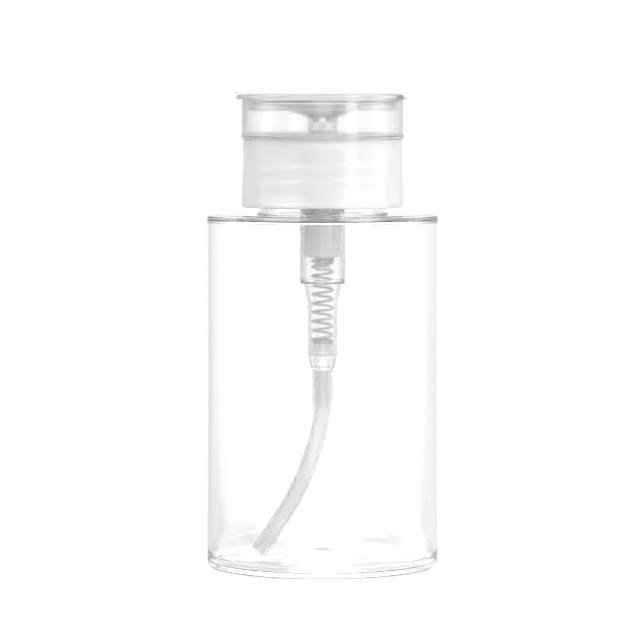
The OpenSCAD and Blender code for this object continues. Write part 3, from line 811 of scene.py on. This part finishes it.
def make_lid():
    """Flat lid with a sealing ring and a centre plug, hinged between the ears."""
    seal_r = RING_BORE_R - SEAL_GAP
    plug_low = low("lid")
    top_z = LID_LOW + LID_T
    lid = turned("lid_plate", outline([
        (0, plug_low), (PLUG_R, plug_low, 0.3), (PLUG_R, LID_LOW, 0.25),
        (seal_r - SEAL_T, LID_LOW, 0.25), (seal_r - SEAL_T, LID_LOW - SEAL_H, 0.2),
        (seal_r, LID_LOW - SEAL_H, 0.2), (seal_r, LID_LOW, 0.15), (FLANGE_R, LID_LOW, 0.35),
        (FLANGE_R, top_z, 0.4), (0, top_z)])[:-1] + [(0, top_z)],
        MATERIALS["lid_pp"], ROUND_STEPS, closed=False)
    cut(lid, block("hinge_side", (CHORD_X, -FLANGE_R, plug_low), (FLANGE_R + 1, FLANGE_R, top_z + 1)))
    web = bevelled(block("web", (CHORD_X - 1, -BARREL_W / 2, LID_LOW), (HINGE_X, BARREL_W / 2, top_z - 0.01)))
    cut(lid, web, "UNION")
    cut(lid, bevelled(bar("barrel", HINGE_R, BARREL_W, HINGE_X, 0, HINGE_Z)), "UNION")
    cut(lid, bevelled(bar("trunnion", TRUNNION_R, BARREL_W + 2 * EAR_W, HINGE_X, 0, HINGE_Z)), "UNION")
    return creased(lid)


def make_dish():
    """Press dish: skirt, annulus, cone, floor with its outlet holes, and hollow stem."""
    dish_top = LID_LOW - SEAL_H - DISH_REST
    under = dish_top - DISH_T
    cone_low = under + 0.2 - CONE_DROP
    floor_z = cone_low + DISH_T + FLOOR_RISE
    slope = CONE_DROP / (CONE_TOP_R - STEM_R)
    floor_r = STEM_R + FLOOR_RISE / slope
    dish_r = RING_BORE_R - DISH_GAP
    chamber = cone_low - STEM_ROOF
    stem_low = low("press_dish")
    dish = turned("press_dish_body", outline([
        (0, chamber), (STEM_BORE_R, chamber, 0.3), (STEM_BORE_R, stem_low, 0.1), (STEM_R, stem_low, 0.2),
        (STEM_R, cone_low, 0.5), (CONE_TOP_R, cone_low + CONE_DROP, 1.0), (dish_r - DISH_T, under, 0.4),
        (dish_r - DISH_T, dish_top - DISH_SKIRT_H, 0.2), (dish_r, dish_top - DISH_SKIRT_H, 0.2),
        (dish_r, dish_top, 0.35), (CONE_TOP_R + 0.2, dish_top, 1.2), (floor_r, floor_z, 1.0),
        (0, floor_z)]), MATERIALS["dish_pp"], ROUND_STEPS, closed=False)
    for i in range(OUTLETS):
        a = 2 * math.pi * (i + 0.5) / OUTLETS
        x, y = OUTLET_CIRCLE_R * math.cos(a), OUTLET_CIRCLE_R * math.sin(a)
        cut(dish, bar("outlet", OUTLET_R, 4.0, x, y, floor_z - 1.0, "Z", 24))
    return creased(dish)


def make_housing():
    """Pump body: flange and plug skirt, hub, cylinder, taper, spring well, ball chamber, tube socket."""
    cyl_low = FLANGE_SEAT - CYL_DROP
    taper_low = cyl_low - TAPER_H
    well_low = taper_low - WELL_H
    socket_top = well_low - CHAMBER_H
    socket_low = low("housing")
    seat = low("ball_cage")
    ball_r = radius("inlet_ball")
    ball_seat = low("inlet_ball") + ball_r - BALL_SEAT_DROP
    head_r = radius("guide_cap")
    hub_r = head_r + HUB_WALL
    flange_r = radius("housing")
    tube_top = socket_top - 0.4
    points = outline([
        (TUBE_R, socket_low, 0.15), (SOCKET_R, socket_low, 0.15), (SOCKET_R, socket_top, 1.5),
        (WELL_R, well_low, 1.5), (WELL_R, taper_low, 2.0), (CYL_R - 0.95, cyl_low - 0.2, 0.2),
        (CYL_R, cyl_low, 0.15), (CYL_R, GUIDE_SEAT - 2.6, 0.5), (hub_r, GUIDE_SEAT - 1.8, 0.3),
        (hub_r, FLANGE_SEAT, 0.4), (SKIRT_R - 0.6, FLANGE_SEAT, 0.4),
        (SKIRT_R - 0.6, FLANGE_SEAT - 3.5, 0.1), (SKIRT_R - 0.3, FLANGE_SEAT - 3.8, 0.1),
        (SKIRT_R, FLANGE_SEAT - 3.2, 0.1), (SKIRT_R, FLANGE_SEAT, 0.1), (flange_r, FLANGE_SEAT, 0.2),
        (flange_r, LEDGE, 0.3), (head_r, LEDGE, 0.15), (head_r, GUIDE_SEAT, 0.1),
        (CYL_BORE_R, GUIDE_SEAT, 0.15), (CYL_BORE_R, cyl_low + 1.0, 0.3), (CYL_R - 1.55, cyl_low - 0.1, 0.3),
        (WELL_BORE_R, taper_low - 0.2, 2.0), (WELL_BORE_R, seat, 0.1), (ball_r + BALL_ROOM, seat, 0.15),
        (ball_r + BALL_ROOM, ball_seat, 0.4), (INLET_R, ball_seat, 0.15), (INLET_R, tube_top, 0.1),
        (TUBE_R, tube_top, 0.1)])
    housing = turned("pump_housing", points, MATERIALS["pump_pp"], ROUND_STEPS // 2)
    cut(housing, bar("vent", VENT_R, CYL_R, 0, -CYL_R / 2 - 1.5, FLANGE_SEAT - VENT_DROP, "Y", 24))
    return creased(housing)


def tube_route():
    """Centreline of the dip tube in mm: socket, short bend, long arc, straight end, as unit steps."""
    start = low("housing")
    bend_x = TUBE_REACH - TUBE_EXIT_BEND_R * (1 - math.cos(TUBE_EXIT_A))
    bend_z = start - TUBE_END_Z - TUBE_EXIT_BEND_R * math.sin(TUBE_EXIT_A)
    along = bend_z * math.cos(TUBE_EXIT_A) + bend_x * math.sin(TUBE_EXIT_A)
    across = bend_x * math.cos(TUBE_EXIT_A) - bend_z * math.sin(TUBE_EXIT_A)
    arc_a = 2 * math.atan2(across, along + TUBE_END_L)
    arc_r = (along - TUBE_END_L * math.cos(arc_a)) / math.sin(arc_a)
    x, z, heading = 0.0, top("dip_tube"), 0.0
    route = [(x, z, heading)]
    stretches = [(z - start, 0.0, 10), (TUBE_EXIT_BEND_R * TUBE_EXIT_A, TUBE_EXIT_A, 8),
                 (arc_r * arc_a, arc_a, 60), (TUBE_END_L, 0.0, 20)]
    for length, bend, count in stretches:
        for _ in range(count):
            heading += bend / count / 2
            x -= math.sin(heading) * length / count
            z -= math.cos(heading) * length / count
            heading += bend / count / 2
            route.append((x, z, heading))
    return route


def make_dip_tube(sides=48):
    """Bent extruded tube: outside down, round the cut end, and the bore back up."""
    route = tube_route()
    edge = 0.12
    loop = [(i, TUBE_R) for i in range(len(route))]
    loop += [(len(route) - 1, TUBE_R - edge), (len(route) - 1, TUBE_BORE_R + edge)]
    loop += [(i, TUBE_BORE_R) for i in reversed(range(len(route)))]
    loop += [(0, TUBE_BORE_R + edge), (0, TUBE_R - edge)]
    verts, faces = [], []
    for i, r in loop:
        x, z, heading = route[i]
        for k in range(sides):
            a = 2 * math.pi * k / sides
            side = r * math.cos(a)
            verts.append(((x + side * math.cos(heading)) * MM, r * math.sin(a) * MM,
                          (z - side * math.sin(heading)) * MM))
    for j in range(len(loop)):
        for k in range(sides):
            a, b = j * sides, (j + 1) % len(loop) * sides
            faces.append((a + k, a + (k + 1) % sides, b + (k + 1) % sides, b + k))
    mesh = bpy.data.meshes.new("dip_tube_pipe")
    mesh.from_pydata(verts, [], faces)
    mesh.materials.append(MATERIALS["tube_pe"])
    tube = link("dip_tube_pipe", mesh)
    if volume(mesh) < 0:
        mesh.flip_normals()
    return creased(tube)


def make_spring():
    """Return spring of the pump, closed at both ends."""
    low_z, top_z = low("spring") + WIRE_R, top("spring") - WIRE_R
    closed = 2 * WIRE_R + COIL_GAP
    pitch = (top_z - low_z - closed * (LOW_TURNS + TOP_TURNS)) / OPEN_TURNS
    return grown("return_spring", SPRING, {
        "Coil Radius": (SPRING_R - WIRE_R) * MM, "Wire Radius": WIRE_R * MM, "Low": low_z * MM,
        "Closed Pitch": closed * MM, "Open Pitch": pitch * MM, "Low Turns": LOW_TURNS,
        "Open Turns": OPEN_TURNS, "Top Turns": TOP_TURNS, "Steps Per Turn": 40,
        "Material": MATERIALS["spring_steel"]})


def make_ball(node, material):
    """Ball of a valve."""
    lowest, highest = low(node), top(node)
    r, mid = (highest - lowest) / 2, (highest + lowest) / 2
    angles = [math.pi * i / ARC_STEPS for i in range(ARC_STEPS + 1)]
    points = [(r * math.sin(a), mid - r * math.cos(a)) for a in angles]
    points[0], points[-1] = (0, lowest), (0, highest)
    return turned(node + "_bead", points, material, 48, closed=False)


def make_piston():
    """Seal with a lip at each end and a waist between them."""
    low_z, top_z = low("piston"), top("piston")
    lip, waist = radius("piston"), radius("piston") - WAIST_DEPTH
    return turned("piston_seal", outline([
        (STEM_BORE_R, low_z, 0.1), (waist - 0.4, low_z, 0.1), (lip, low_z + 0.2, 0.1),
        (lip, low_z + LIP_H, 0.2), (waist, low_z + LIP_H + 0.8, 0.4), (waist, top_z - LIP_H - 0.8, 0.4),
        (lip, top_z - LIP_H, 0.2), (lip, top_z - 0.2, 0.1), (waist - 0.4, top_z, 0.1),
        (STEM_BORE_R, top_z, 0.1)]), MATERIALS["piston_pe"])


def make_rod():
    """Hollow rod, with a socket at its foot for the spring's pilot."""
    low_z, top_z = low("piston_rod"), top("piston_rod")
    socket_top = low_z + ROD_SOCKET_H
    return turned("piston_rod_tube", outline([
        (ROD_PIN_R, low_z, 0.1), (STEM_BORE_R, low_z, 0.1), (STEM_BORE_R, top_z, 0.2),
        (ROD_BORE_R, top_z, 0.1), (ROD_BORE_R, socket_top, 0.2), (ROD_PIN_R, socket_top, 0.2)]),
        MATERIALS["piston_pe"])


def make_rod_tip():
    """Pilot inside the spring's top, its pin pressed into the rod."""
    low_z, top_z = low("rod_tip"), top("rod_tip")
    seat = low("piston")
    pilot = SPRING_R - 2 * WIRE_R - PILOT_GAP
    return turned("rod_tip_pilot", outline([
        (ROD_BORE_R, low_z, 0.1), (pilot - 0.4, low_z, 0.15), (pilot, low_z + 0.6, 0.2),
        (pilot, seat - 0.3, 0.05), (SPRING_R, seat - 0.3, 0.1), (SPRING_R, seat, 0.05),
        (ROD_PIN_R, seat, 0.05), (ROD_PIN_R, top_z, 0.15), (ROD_BORE_R, top_z, 0.1)]),
        MATERIALS["piston_pe"])


def make_guide_cap():
    """Sleeve in the top of the cylinder that keeps the stem upright."""
    low_z, top_z = low("guide_cap"), top("guide_cap")
    bore, sleeve, head = STEM_R + 0.1, CYL_BORE_R, radius("guide_cap")
    return turned("guide_sleeve", outline([
        (bore, low_z, 0.15), (sleeve, low_z, 0.3), (sleeve, GUIDE_SEAT, 0.1), (head, GUIDE_SEAT, 0.1),
        (head, top_z, 0.25), (bore, top_z, 0.3)]), MATERIALS["pump_pp"])


def make_gasket():
    """Flat foam ring between the neck's rim and the pump's flange."""
    low_z, top_z, outside = low("gasket"), top("gasket"), radius("gasket")
    return turned("neck_gasket", outline([
        (SKIRT_R, low_z, 0.05), (outside, low_z, 0.15), (outside, top_z, 0.15), (SKIRT_R, top_z, 0.05)]),
        MATERIALS["gasket_foam"])


def make_pieces():
    """Every finer piece, on its body and in place of its CAD node."""
    standing_for(make_bottle(), "bottle", "bottle")
    standing_for(make_gasket(), "gasket", "pump")
    standing_for(make_collar(), "collar", "collar")
    standing_for(make_guard_ring(), "guard_ring", "collar")
    standing_for(make_lid(), "lid", "lid")
    standing_for(make_dish(), "press_dish", "plunger")
    standing_for(make_guide_cap(), "guide_cap", "pump")
    glass = MATERIALS["ball_glass"]
    standing_for(make_ball("outlet_ball", glass), "outlet_ball", "outlet_ball")
    standing_for(make_rod(), "piston_rod", "plunger")
    standing_for(make_piston(), "piston", "plunger")
    standing_for(make_rod_tip(), "rod_tip", "plunger")
    standing_for(make_housing(), "housing", "pump")
    spring = make_spring()
    standing_for(spring, "spring", "pump")
    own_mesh(spring)
    standing_for(make_ball("inlet_ball", glass), "inlet_ball", "inlet_ball")
    standing_for(make_dip_tube(), "dip_tube", "pump")


def dress_cage():
    """The ball cage keeps its CAD shape and takes the pump's finish."""
    cage = frame["nodes"]["ball_cage"]
    cage.data.materials.clear()
    cage.data.materials.append(MATERIALS["pump_pp"])


# ---------------------------------------------------------------- stage, light and camera

class Nodes:
    """Short calls that add and link the float nodes of a world or a material."""

    def __init__(self, tree):
        self.nodes, self.link_to = tree.nodes, tree.links.new

    def spread(self, socket, start, end, first, last):
        ramp = self.nodes.new("ShaderNodeMapRange")
        ramp.interpolation_type = "SMOOTHSTEP"
        for label, value in (("From Min", start), ("From Max", end), ("To Min", first), ("To Max", last)):
            ramp.inputs[label].default_value = value
        self.link_to(socket, ramp.inputs["Value"])
        return ramp.outputs[0]

    def times(self, first, second):
        node = self.nodes.new("ShaderNodeMath")
        node.operation = "MULTIPLY"
        self.link_to(first, node.inputs[0])
        self.link_to(second, node.inputs[1])
        return node.outputs[0]

    def blend(self, share, first, second):
        mix = self.nodes.new("ShaderNodeMix")
        for socket, value in zip((mix.inputs[0], mix.inputs[2], mix.inputs[3]), (share, first, second)):
            if isinstance(value, float):
                socket.default_value = value
            else:
                self.link_to(value, socket)
        return mix.outputs[0]

    def studio(self, direction):
        """Light from a direction: white panels on four sides, grey flags between them, bright overhead."""
        split = self.nodes.new("ShaderNodeSeparateXYZ")
        self.link_to(direction, split.inputs[0])
        x, y, z = split.outputs
        between = self.nodes.new("ShaderNodeMath")
        between.operation = "ABSOLUTE"
        self.link_to(self.times(x, y), between.inputs[0])
        sideways = self.spread(z, 0.35, 0.6, 1.0, 0.0)
        level = self.spread(x, -0.8, 0.8, *PANELS)
        level = self.blend(self.spread(y, 0.6, 0.9, 0.0, 1.0), level, WHITE)
        flag = self.spread(x, -0.3, 0.3, *FLAGS)
        level = self.blend(self.spread(between.outputs[0], 0.12, 0.36, 0.0, 1.0), level, flag)
        level = self.blend(sideways, OVERHEAD, level)
        seen = self.nodes.new("ShaderNodeLightPath")
        return self.blend(seen.outputs["Is Camera Ray"], level, WHITE)


def make_stage():
    """A plain white floor just under the base. It shines as the room does in the same direction."""
    half, drop, thickness = 3000, 0.1, 1.0
    floor = block("floor", (-half, -half, -drop - thickness), (half, half, -drop))
    material, nodes, link_to, shader = plain_material("pale_floor")
    shader.inputs["Base Color"].default_value = (0.02, 0.02, 0.02, 1)
    shader.inputs["Roughness"].default_value = 1.0
    shader.inputs["Specular IOR Level"].default_value = 0.0
    shader.inputs["Emission Color"].default_value = (1, 1, 1, 1)
    place = nodes.new("ShaderNodeTexCoord")
    outwards = nodes.new("ShaderNodeVectorMath")
    outwards.operation = "NORMALIZE"
    link_to(place.outputs["Object"], outwards.inputs[0])
    link_to(Nodes(material.node_tree).studio(outwards.outputs[0]), shader.inputs["Emission Strength"])
    floor.data.materials.append(material)


def make_light():
    """The room's own light, and one soft key on the right."""
    world = bpy.data.worlds.new("white_room")
    bpy.context.scene.world = world
    world.use_nodes = True
    sky = world.node_tree.nodes["Background"]
    sky.inputs["Color"].default_value = (1, 1, 1, 1)
    place = world.node_tree.nodes.new("ShaderNodeTexCoord")
    level = Nodes(world.node_tree).studio(place.outputs["Generated"])
    world.node_tree.links.new(level, sky.inputs["Strength"])
    key = bpy.data.lights.new("key", "AREA")
    key.shape = "RECTANGLE"
    key.size = 0.25
    key.size_y = 0.6
    key.energy = 2.0
    lamp = bpy.data.objects.new("key", key)
    lamp.location = (0.5, -0.55, 0.35)
    lamp.rotation_euler = (Vector((0, 0, 0.09)) - lamp.location).to_track_quat("-Z", "Y").to_euler()
    bpy.context.scene.collection.objects.link(lamp)
    bpy.context.scene.view_settings.view_transform = "Standard"
    # light has to get through a dozen clear walls, one behind the other
    paths = bpy.context.scene.cycles
    paths.max_bounces = 48
    paths.transmission_bounces = 48
    paths.glossy_bounces = 24
    paths.diffuse_bounces = 24


def make_camera():
    """Long lens at the height of the lid, tipped down by a few degrees."""
    camera = bpy.data.cameras.new("camera")
    camera.lens = 212.0
    camera.sensor_width = 36.0
    eye = bpy.data.objects.new("camera", camera)
    eye.location = (-0.0006, -0.897, 0.1122)
    eye.rotation_euler = (math.radians(90 - 3.40), 0, 0)
    bpy.context.scene.collection.objects.link(eye)
    bpy.context.scene.camera = eye


make_camera()
make_pieces()
dress_cage()
make_stage()
make_light()
